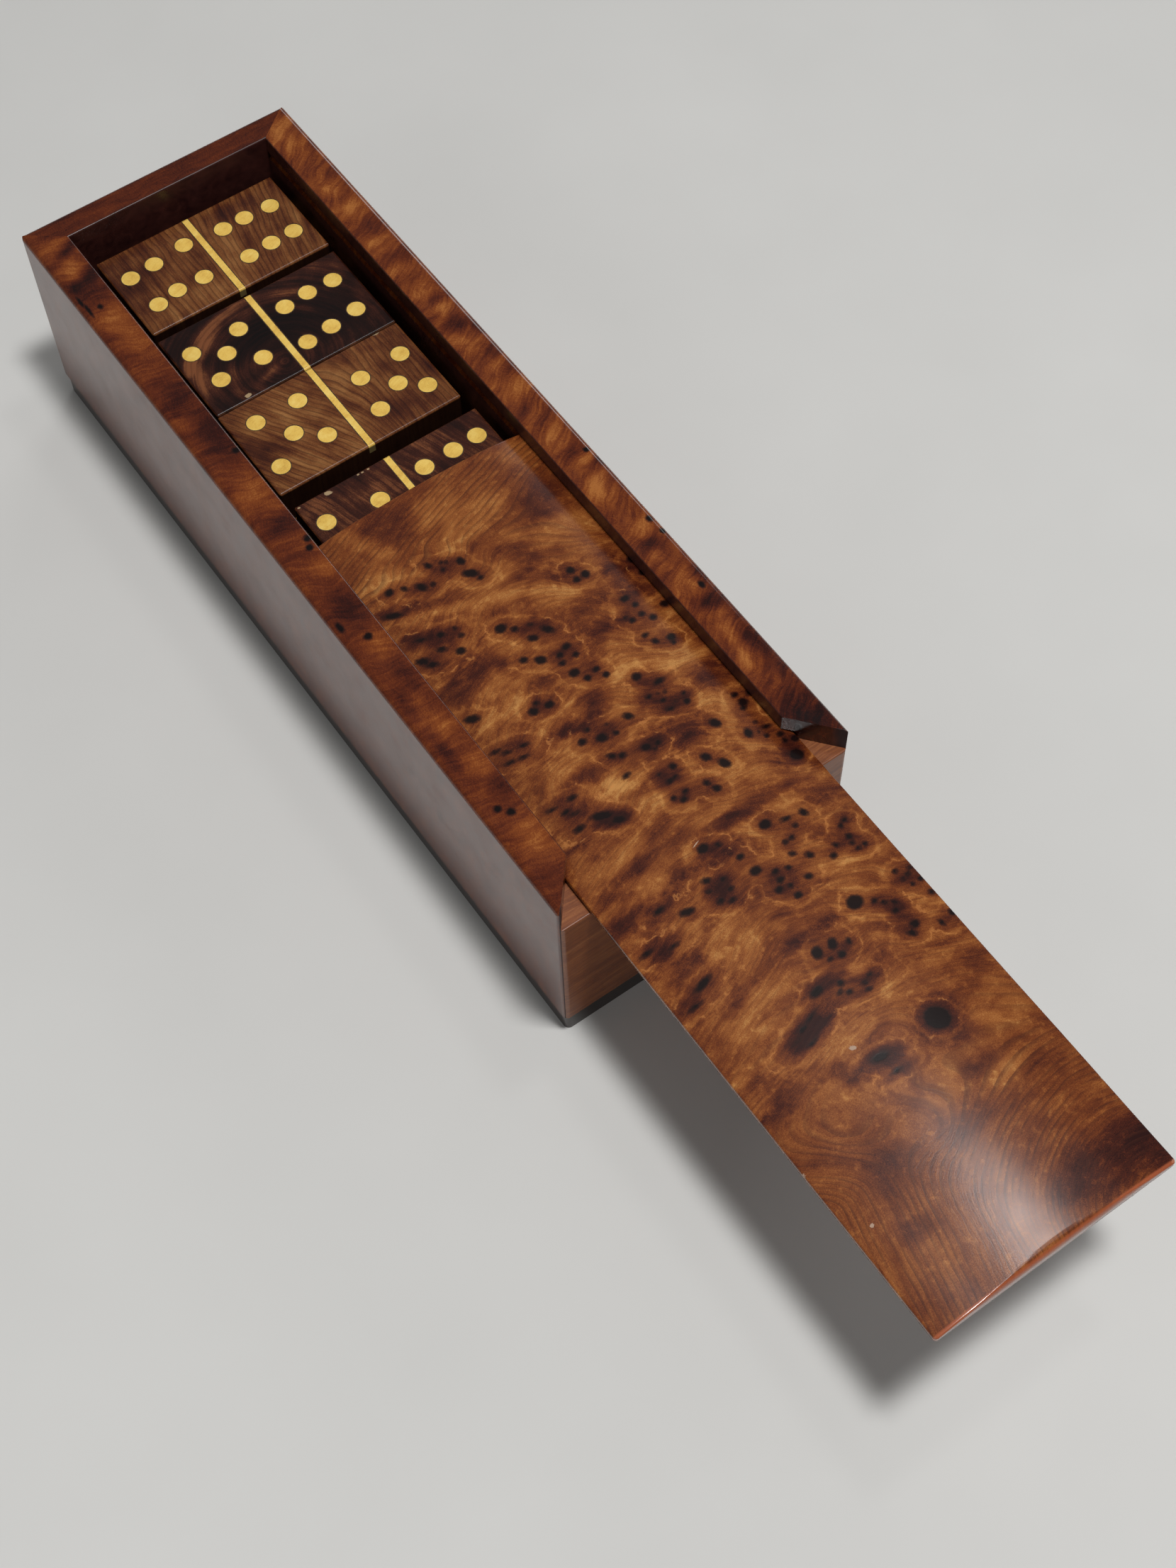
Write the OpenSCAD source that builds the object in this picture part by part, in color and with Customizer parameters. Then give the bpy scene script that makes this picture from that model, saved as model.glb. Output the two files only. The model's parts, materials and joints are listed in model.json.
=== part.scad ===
// Domino storage box with a sliding lid, holding a double-six set of dominoes in seven stacks.
// The origin is at the middle of the underside of the base board. X runs across the box, Y along it
// towards the rear wall, Z up. The lid stands pulled part of the way out towards the front.

/* [Box] */
// Outer width of the box
box_w = 66; // [55:0.5:80]
// Outer length of the box
box_l = 202; // [165:1:245]
// Height of the side and rear walls above the base board
wall_h = 44; // [36:0.5:54]
// How far the top of the front wall lies below the side walls
front_drop = 6.2; // [5:0.1:7.5]
// Thickness of the two side walls
side_t = 8.4; // [6.5:0.1:10.5]
// Thickness of the rear wall
rear_t = 6.6; // [5:0.1:9]
// Thickness of the front wall
front_t = 10; // [8:0.1:12]
// Thickness of the base board
base_t = 6; // [4.5:0.1:7.5]
// How far the base board stands back from the faces of the walls
base_inset = 0.5; // [0.2:0.1:1.5]
// Radius of the upright corners of the box
corner_r = 1.2; // [0.6:0.1:2]
// Radius along the outer top edges of the walls
rim_r = 1.3; // [0.6:0.1:2]
// Radius along the inner top edges of the walls
lip_r = 0.4; // [0.2:0.1:0.8]

/* [Lid] */
// How far the lid is pulled out from its closed place
lid_open = 98; // [60:1:130]
// Thickness of the lid along its middle
lid_mid_t = 3.8; // [3.4:0.05:4.2]
// Thickness of the lid at its two long edges
lid_edge_t = 1.3; // [1.1:0.05:1.5]
// Radius of the flatter middle of the crown
lid_crown_r = 220; // [200:5:400]
// Width of the rounded shoulder at each side of the crown
lid_shoulder_w = 12.4; // [10:0.1:14]
// Radius of the rounded top edge at the lid's front end
lid_end_r = 1.5; // [1:0.1:2]
// Radius of the lid's upright corners
lid_corner_r = 0.8; // [0.4:0.1:1.2]
// How far the grooves are cut into the side walls
groove_d = 2.1; // [1.7:0.1:2.6]
// Room beside each long edge of the lid
lid_side_play = 0.35; // [0.25:0.05:0.5]
// Room under the lid
lid_under_play = 0.2; // [0.1:0.05:0.3]
// Room between the lid's long edges and the lips above them
lid_over_play = 0.3; // [0.2:0.05:0.4]
// Room between the closed lid and the rear wall
lid_end_play = 0.3; // [0.2:0.05:0.5]
// How far the front end of the closed lid stays behind the face of the front wall
lid_setback = 1.2; // [0:0.1:2]

/* [Dominoes] */
// Room at each end of a domino, across the box
domino_end_gap = 2.6; // [2.4:0.1:3.1]
// Room between the top dominoes and the underside of the lid
domino_headroom = 0.6; // [0.5:0.1:0.8]
// Radius along the edges of a domino
domino_r = 0.5; // [0.3:0.1:0.8]
// Diameter of an inlaid pip
pip_d = 4.1; // [3.5:0.1:4.9]
// Depth of an inlaid pip
pip_depth = 1.6; // [1.3:0.1:1.9]
// Width of the inlaid line across the middle of a domino
line_w = 1.5; // [1.2:0.1:1.8]
// Depth of the inlaid line
line_depth = 2.2; // [1.8:0.1:2.6]
// Glue gap around each inlay
inlay_gap = 0.05; // [0.04:0.01:0.08]
// How far the hand-drilled pips of the covered dominoes lie off their places
pip_wander = 0.7; // [0:0.1:0.8]

/* [Hidden] */
$fn = 48;

// The inside of the box
inner_w = box_w - 2 * side_t;
inner_l = box_l - rear_t - front_t;
inner_rear_y = box_l / 2 - rear_t;
front_h = wall_h - front_drop;

// The lid runs from the rear wall nearly to the face of the front wall, its long edges in the grooves
lid_w = inner_w + 2 * (groove_d - lid_side_play);
lid_l = box_l - rear_t - lid_end_play - lid_setback;
lid_far_y = inner_rear_y - lid_end_play - lid_open;
lid_z = base_t + front_h + lid_under_play;

// The crown is a wide arc in the middle and a tighter arc, tangent to it, over each shoulder
crown_x = lid_w / 2 - lid_shoulder_w;
crown_sin = crown_x / lid_crown_r;
crown_cos = sqrt(1 - crown_sin * crown_sin);
crown_z = lid_mid_t - lid_crown_r * (1 - crown_cos);
crown_fall = crown_z - lid_edge_t;
shoulder_r = (lid_shoulder_w * lid_shoulder_w + crown_fall * crown_fall)
    / (2 * (crown_fall * crown_cos - lid_shoulder_w * crown_sin));
shoulder_x = crown_x - shoulder_r * crown_sin;
shoulder_z = crown_z - shoulder_r * crown_cos;

// Height of the lid where it passes under the lips, and the groove that takes it
lip_x = inner_w / 2 - shoulder_x;
lid_lip_t = shoulder_z + sqrt(shoulder_r * shoulder_r - lip_x * lip_x);
groove_h = lid_under_play + lid_lip_t + lid_over_play;

// The dominoes: values of the left and right halves, top layer first, each layer from the rear to the front
TILES = [[6, 6], [5, 6], [5, 5], [4, 6], [4, 5], [4, 4], [3, 6],
    [3, 5], [3, 4], [3, 3], [2, 6], [2, 5], [2, 4], [2, 3],
    [2, 2], [1, 6], [1, 5], [1, 4], [1, 3], [1, 2], [1, 1],
    [0, 6], [0, 5], [0, 4], [0, 3], [0, 2], [0, 1], [0, 0]];
STACKS = 7;
LAYERS = 4;

// Free room behind each stack, the last value being the room before the front wall
STACK_GAPS = [4.0, 2.1, 0.2, 4.2, 0.1, 0.1, 0.1, 0.1];
STACK_SHIFTS = [0.2, -0.1, -0.2, 0.4, -0.2, 0.5, 0.1];
LAYER_SHIFTS = [0, 0.4, -0.3, 0.2];
function gap_sum(n) = n < 0 ? 0 : STACK_GAPS[n] + gap_sum(n - 1);

domino_l = inner_w - 2 * domino_end_gap;
domino_w = (inner_l - gap_sum(STACKS)) / STACKS;
domino_t = (front_h - domino_headroom) / LAYERS;
pip_centre_x = domino_l * 0.26;
pip_step_x = domino_l * 0.137;
pip_step_y = domino_w * 0.206;
// The drift of the pips grows and shrinks with the clear gap between them
drift_gap = 1.928;
drift_share = (pip_step_x - pip_d) / drift_gap;

// Pip places on one half of a domino, in steps from its middle
PIPS = [[],
    [[0, 0]],
    [[-1, 1], [1, -1]],
    [[-1, 1], [0, 0], [1, -1]],
    [[-1, 1], [1, 1], [-1, -1], [1, -1]],
    [[-1, 1], [1, 1], [0, 0], [-1, -1], [1, -1]],
    [[-1, 1], [0, 1], [1, 1], [-1, -1], [0, -1], [1, -1]]];

// How far the pips of the four uncovered dominoes lie off their places, left half first
DRIFT = [
    [[[-0.5, -0.8], [-0.4, -0.2], [1.6, 0.8], [0.7, -0.5], [0, 0.6], [0.5, 0.5]],
     [[0.1, -0.2], [-0.5, -0.1], [-0.1, -0.4], [0.7, -0.1], [0.5, 0.4], [0.2, 0.5]]],
    [[[-0.3, 0.1], [-0.8, 0.2], [-0.2, 1], [1.2, 0.7], [-0.6, 0.7]],
     [[-0.4, -0.3], [-0.4, 0.3], [-0.2, 0.1], [-1.6, -1.2], [-1.3, -0.5], [-0.5, 0.5]]],
    [[[1.2, 1.4], [-0.8, 1.3], [0.1, -0.4], [-0.5, -1.1], [-0.6, 0.3]],
     [[2.2, -1.3], [0.4, -0.6], [1.8, -1.9], [1.1, -0.4], [0.5, -0.8]]],
    [[[-1.1, 0.3], [-1.4, -1.3], [0.5, 0.2], [-0.2, 0.4]],
     [[-0.4, 0.4], [0.7, 0.6], [0.7, 0.9], [0.3, -0.2], [-0.4, 0.3], [0.2, 0.5]]]];

function stack_y(k) = inner_rear_y - gap_sum(k) - domino_w * (k + 0.5);
function domino_at(i) = [
    STACK_SHIFTS[i % STACKS] + LAYER_SHIFTS[floor(i / STACKS)],
    stack_y(i % STACKS),
    base_t + domino_t * (LAYERS - 1 - floor(i / STACKS))];
function wander(i, p) = [pip_wander * sin(i * 67 + p * 131), pip_wander * cos(i * 67 + p * 131)];
function pip_at(i, side, p) =
    [(side * 2 - 1) * pip_centre_x, 0]
    + [PIPS[TILES[i][side]][p][0] * pip_step_x, PIPS[TILES[i][side]][p][1] * pip_step_y]
    + drift_share * (i < len(DRIFT) ? DRIFT[i][side][p] : wander(i, p + 7 * side));

// A rectangle about the middle with round corners
module rounded_rect(w, h, r) {
    square([w - 2 * r, h], center = true);
    square([w, h - 2 * r], center = true);
    for (x = [-1, 1], y = [-1, 1])
        translate([x * (w / 2 - r), y * (h / 2 - r)]) circle(r = r);
}

// Section of a wall from its outer face at zero to its inner face at t
module wall_section(t, h, outer_r, inner_r) {
    square([t, h - max(outer_r, inner_r)]);
    translate([outer_r, 0]) square([t - outer_r - inner_r, h]);
    translate([outer_r, h - outer_r]) circle(r = outer_r);
    translate([t - inner_r, h - inner_r]) circle(r = inner_r);
    translate([t / 2, 0]) square([t / 2, h - inner_r]);
}

// The block that the upright corners are rounded from
module box_envelope() {
    linear_extrude(height = base_t + wall_h + 1) rounded_rect(box_w, box_l, corner_r);
}

// Plan of the left wall, mitred from the outer to the inner corners
module side_plan() {
    polygon([[-box_w / 2, -box_l / 2], [-box_w / 2 + side_t, -box_l / 2 + front_t],
        [-box_w / 2 + side_t, box_l / 2 - rear_t], [-box_w / 2, box_l / 2]]);
}

// Plan of the front or rear wall, with its outer face towards the front
module end_plan(t) {
    polygon([[-box_w / 2, -box_l / 2], [box_w / 2, -box_l / 2],
        [box_w / 2 - side_t, -box_l / 2 + t], [-box_w / 2 + side_t, -box_l / 2 + t]]);
}

// The left wall with the groove for the lid under its lip
module side_wall() {
    intersection() {
        translate([-box_w / 2, box_l / 2, base_t]) rotate([90, 0, 0])
            linear_extrude(height = box_l) difference() {
                wall_section(side_t, wall_h, rim_r, lip_r);
                translate([side_t - groove_d, front_h]) square([groove_d + 1, groove_h]);
            }
        linear_extrude(height = base_t + wall_h + 1) side_plan();
        box_envelope();
    }
}

module end_wall(t, h, outer_r, inner_r) {
    intersection() {
        translate([-box_w / 2, -box_l / 2, base_t]) rotate([90, 0, 90])
            linear_extrude(height = box_w) wall_section(t, h, outer_r, inner_r);
        linear_extrude(height = base_t + wall_h + 1) end_plan(t);
        box_envelope();
    }
}

// A domino before its pockets are cut, with rounded edges all round
module domino_blank() {
    intersection() {
        linear_extrude(height = domino_t) rounded_rect(domino_l, domino_w, domino_r);
        translate([0, domino_w / 2, domino_t / 2]) rotate([90, 0, 0])
            linear_extrude(height = domino_w) rounded_rect(domino_l, domino_t, domino_r);
        translate([-domino_l / 2, 0, domino_t / 2]) rotate([90, 0, 90])
            linear_extrude(height = domino_l) rounded_rect(domino_w, domino_t, domino_r);
    }
}

// The pips of one domino, standing down from its top face
module pip_set(i, grow, depth) {
    for (side = [0, 1], p = [0:1:len(PIPS[TILES[i][side]]) - 1])
        translate([0, 0, domino_t - pip_depth])
            translate(pip_at(i, side, p)) cylinder(h = depth, d = pip_d + 2 * grow);
}

module base_board() {
    color("#2b1d16") linear_extrude(height = base_t)
        rounded_rect(box_w - 2 * base_inset, box_l - 2 * base_inset, corner_r);
}

module left_wall() {
    color("#8a4a2a") side_wall();
}

module right_wall() {
    color("#8a4a2a") mirror([1, 0, 0]) side_wall();
}

module rear_wall() {
    color("#6b3226") mirror([0, 1, 0]) end_wall(rear_t, wall_h, rim_r, lip_r);
}

module front_wall() {
    color("#a5683f") end_wall(front_t, front_h, 0.3, 0.3);
}

// Section of the lid: flat underneath, crowned on top, thin at both long edges
module lid_section() {
    intersection() {
        translate([-crown_x, 0]) square([2 * crown_x, lid_mid_t + 1]);
        translate([0, lid_mid_t - lid_crown_r]) circle(r = lid_crown_r, $fn = 720);
    }
    for (m = [0, 1]) mirror([m, 0]) intersection() {
        translate([crown_x, 0]) square([lid_shoulder_w, lid_mid_t + 1]);
        translate([shoulder_x, shoulder_z]) circle(r = shoulder_r, $fn = 360);
    }
}

module lid() {
    color("#b06a34") translate([0, lid_far_y - lid_l / 2, lid_z]) intersection() {
        translate([0, lid_l / 2, 0]) rotate([90, 0, 0]) linear_extrude(height = lid_l) lid_section();
        linear_extrude(height = lid_mid_t + 1) rounded_rect(lid_w, lid_l, lid_corner_r);
        translate([-lid_w / 2, -lid_l / 2, 0]) rotate([90, 0, 90]) linear_extrude(height = lid_w) {
            square([lid_l, lid_mid_t - lid_end_r]);
            translate([lid_end_r, 0]) square([lid_l - lid_end_r, lid_mid_t]);
            translate([lid_end_r, lid_mid_t - lid_end_r]) circle(r = lid_end_r);
        }
    }
}

// One domino with its pockets for the pips and the dividing line
module domino(i) {
    color("#4a2c20") translate(domino_at(i)) difference() {
        domino_blank();
        pip_set(i, inlay_gap, pip_depth + 1);
        translate([-line_w / 2 - inlay_gap, -domino_w / 2 - 1, domino_t - line_depth])
            cube([line_w + 2 * inlay_gap, domino_w + 2, line_depth + 1]);
    }
}

// The pips and dividing lines let into the four dominoes of one stack
module inlays(k) {
    color("#e2c66c") for (j = [0:LAYERS - 1]) translate(domino_at(j * STACKS + k)) {
        pip_set(j * STACKS + k, 0, pip_depth);
        intersection() {
            domino_blank();
            translate([-line_w / 2, -domino_w / 2 - 1, domino_t - line_depth])
                cube([line_w, domino_w + 2, line_depth + 1]);
        }
    }
}

base_board();
left_wall();
right_wall();
rear_wall();
front_wall();
lid();
domino(0);  // domino_6_6
domino(1);  // domino_5_6
domino(2);  // domino_5_5
domino(3);  // domino_4_6
domino(4);  // domino_4_5
domino(5);  // domino_4_4
domino(6);  // domino_3_6
domino(7);  // domino_3_5
domino(8);  // domino_3_4
domino(9);  // domino_3_3
domino(10);  // domino_2_6
domino(11);  // domino_2_5
domino(12);  // domino_2_4
domino(13);  // domino_2_3
domino(14);  // domino_2_2
domino(15);  // domino_1_6
domino(16);  // domino_1_5
domino(17);  // domino_1_4
domino(18);  // domino_1_3
domino(19);  // domino_1_2
domino(20);  // domino_1_1
domino(21);  // domino_0_6
domino(22);  // domino_0_5
domino(23);  // domino_0_4
domino(24);  // domino_0_3
domino(25);  // domino_0_2
domino(26);  // domino_0_1
domino(27);  // domino_0_0
inlays(0);  // inlays_1
inlays(1);  // inlays_2
inlays(2);  // inlays_3
inlays(3);  // inlays_4
inlays(4);  // inlays_5
inlays(5);  // inlays_6
inlays(6);  // inlays_7
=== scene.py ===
"""Looks of a wooden domino box: a crowned burl board slides over mitred burl walls and inlaid dominoes.

Lengths are written in millimetres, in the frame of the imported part, and become metres where a mesh or a pattern
is made. X runs across the box, Y along it towards the rear wall, Z up.
"""
import json
import math

import bpy
import numpy as np
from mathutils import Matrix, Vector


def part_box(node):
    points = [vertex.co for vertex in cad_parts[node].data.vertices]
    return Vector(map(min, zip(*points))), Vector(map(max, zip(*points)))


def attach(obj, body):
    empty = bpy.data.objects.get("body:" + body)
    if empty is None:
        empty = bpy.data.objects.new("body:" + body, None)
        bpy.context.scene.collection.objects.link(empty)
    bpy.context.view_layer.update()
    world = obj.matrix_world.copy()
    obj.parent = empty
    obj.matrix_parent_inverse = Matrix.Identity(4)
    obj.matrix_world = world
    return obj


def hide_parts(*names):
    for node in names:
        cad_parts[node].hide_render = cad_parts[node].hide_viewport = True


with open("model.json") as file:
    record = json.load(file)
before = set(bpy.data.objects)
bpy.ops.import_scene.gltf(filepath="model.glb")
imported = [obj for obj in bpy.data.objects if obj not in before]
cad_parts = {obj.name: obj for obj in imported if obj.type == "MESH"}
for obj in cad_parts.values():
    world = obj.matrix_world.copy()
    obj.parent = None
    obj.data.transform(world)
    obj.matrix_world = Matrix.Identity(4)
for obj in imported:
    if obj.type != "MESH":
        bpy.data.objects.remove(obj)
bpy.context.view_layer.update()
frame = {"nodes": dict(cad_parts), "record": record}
nodes = frame["nodes"]
MM = 0.001


# ---- Writing a material as arithmetic ----

class Value:
    """A number that varies over a surface. It is one node's output, and takes plain arithmetic."""

    def __init__(self, finish, socket):
        self.finish, self.socket = finish, socket

    def __add__(self, other):
        return self.finish.math("ADD", self, other)

    def __sub__(self, other):
        return self.finish.math("SUBTRACT", self, other)

    def __rsub__(self, other):
        return self.finish.math("SUBTRACT", other, self)

    def __mul__(self, other):
        return self.finish.math("MULTIPLY", self, other)

    def __truediv__(self, other):
        return self.finish.math("DIVIDE", self, other)

    __radd__, __rmul__ = __add__, __mul__


class Finish:
    """One material. Each call adds a node and gives back its output."""

    def __init__(self, name, coat=0.0, coat_rough=0.1):
        self.material = bpy.data.materials.new(name)
        self.material.use_nodes = True
        self.tree = self.material.node_tree
        self.shader = self.tree.nodes["Principled BSDF"]
        self.shader.inputs["Coat Weight"].default_value = coat
        self.shader.inputs["Coat Roughness"].default_value = coat_rough
        self.at = self.add("VectorMath", self.add("TexCoord", out=3), operation="SCALE", Scale=1 / MM)
        split = self.add("SeparateXYZ", self.at)
        self.x, self.y, self.z = (Value(self, socket) for socket in split.socket.node.outputs)

    def add(self, kind, *inputs, out=0, **named):
        """Adds a node. Lower-case names are its settings, and capitalised ones its sockets."""
        made = self.tree.nodes.new("ShaderNode" + kind)
        for key, value in named.items():
            if key[0].islower():
                setattr(made, key, value)
        fed = [(made.inputs[key], value) for key, value in named.items() if key[0].isupper()]
        for socket, value in fed + list(zip(made.inputs, inputs)):
            self.feed(socket, value)
        return Value(self, made.outputs[out])

    def feed(self, socket, value):
        """Links a Value to a socket, or sets a plain value on it."""
        if isinstance(value, Value):
            self.tree.links.new(value.socket, socket)
        elif value is not None:
            socket.default_value = value

    def math(self, operation, a, b=None, c=None):
        return self.add("Math", a, b, c, operation=operation)

    def step(self, value, low, high):
        """0 below low, 1 above high, and a smooth rise between them. With low above high it falls instead."""
        return self.add("MapRange", value, low, high, interpolation_type="SMOOTHSTEP")

    def attribute(self, name):
        return self.add("Attribute", attribute_name=name, out=2)

    def place(self, at, middle=(0, 0, 0), size=(1, 1, 1), turn=0.0):
        """Coordinates about a middle, turned about Z, in which one unit is the given size in mm."""
        return self.add("Mapping", at, vector_type="TEXTURE", Location=middle, Scale=size,
                        Rotation=(0, 0, math.radians(turn)))

    def noise(self, at, detail=2.0, rough=0.5, distort=0.0, out=0):
        return self.add("TexNoise", Vector=at, Scale=1.0, Detail=detail, Roughness=rough, Distortion=distort, out=out)

    def grain(self, at, size, turn=0.0, detail=3.0, rough=0.55, distort=0.0):
        """Noise about zero whose lumps have the given size in mm."""
        return self.noise(self.place(at, (0, 0, 0), size, turn), detail, rough, distort) - 0.5

    def warp(self, at, size, reach):
        """Coordinates that wander by about reach mm over lumps of the given size."""
        push = self.noise(self.place(at, (7, 3, 5), (size,) * 3), 2.0, 0.5, out=1)
        push = self.add("VectorMath", push, (0.5, 0.5, 0.5), operation="SUBTRACT")
        push = self.add("VectorMath", push, operation="SCALE", Scale=2 * reach)
        return self.add("VectorMath", at, push, operation="ADD")

    def spots(self, table, level, depth):
        """Sum of soft spots. A row is x, y, half length, half width, turn in degrees, weight."""
        total = 0.0
        for x, y, long, wide, turn, weight in table:
            near = self.add("TexGradient", self.place(self.at, (x, y, level), (long, wide, depth), turn),
                            gradient_type="SPHERICAL", out=1)
            total = self.math("MULTIPLY_ADD", near, weight, total)
        return total

    def eyes(self, table, level, depth):
        """1 in the middle of the nearest eye, 0.5 at its outline and 0 at twice its size."""
        best = 0.0
        for x, y, long, wide, turn in table:
            near = self.add("TexGradient", self.place(self.at, (x, y, level), (2 * long, 2 * wide, depth), turn),
                            gradient_type="SPHERICAL", out=1)
            best = self.math("MAXIMUM", near, best)
        return best

    def along(self, rings, length, reach=2.0):
        """Coordinates that run across the growth rings in mm, and along them."""
        across = rings + self.grain(self.at, (8, 8, 8)) * reach
        return self.add("CombineXYZ", across, length, 0.0)

    def ramp(self, value, stops):
        """Colour that runs through stops, each a place from 0 to 1 and a colour."""
        made = self.add("ValToRGB", value)
        points = made.socket.node.color_ramp.elements
        while len(points) < len(stops):
            points.new(0.5)
        for point, (place, colour) in zip(points, stops):
            point.position, point.color = place, (*colour, 1)
        return made

    def mix(self, share, a, b):
        """Colour a where share is 0 and colour b where it is 1."""
        return self.add("MixRGB", share, *((*c, 1) if isinstance(c, tuple) else c for c in (a, b)))

    def put(self, colour, rough, height=None):
        """Sets the surface. height is its relief in mm."""
        self.feed(self.shader.inputs["Base Color"], (*colour, 1) if isinstance(colour, tuple) else colour)
        self.feed(self.shader.inputs["Roughness"], rough)
        if height is not None:
            self.feed(self.shader.inputs["Normal"], self.add("Bump", Strength=1.0, Distance=MM, Height=height))
        return self.material


# ---- The lid: a crowned burl board ----

LID_CROWN_R = 220.0
LID_SHOULDER = 12.4
LID_EDGE_T = 1.3
LID_LEAST_T = 0.5
LID_NOSE_R = 1.5
LID_CORNER_R = 0.8
LID_ARRIS = 0.3
# Height and reach of the eased arris round the underside
LID_FOOT = 0.2
LID_CELL = 0.5
# Distances of the rows of the grid that lie near a rim
LID_EDGE_CELLS = [0.0, 0.04, 0.1, 0.18, 0.28, 0.4, 0.55, 0.75, 1.0, 1.3]

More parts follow.
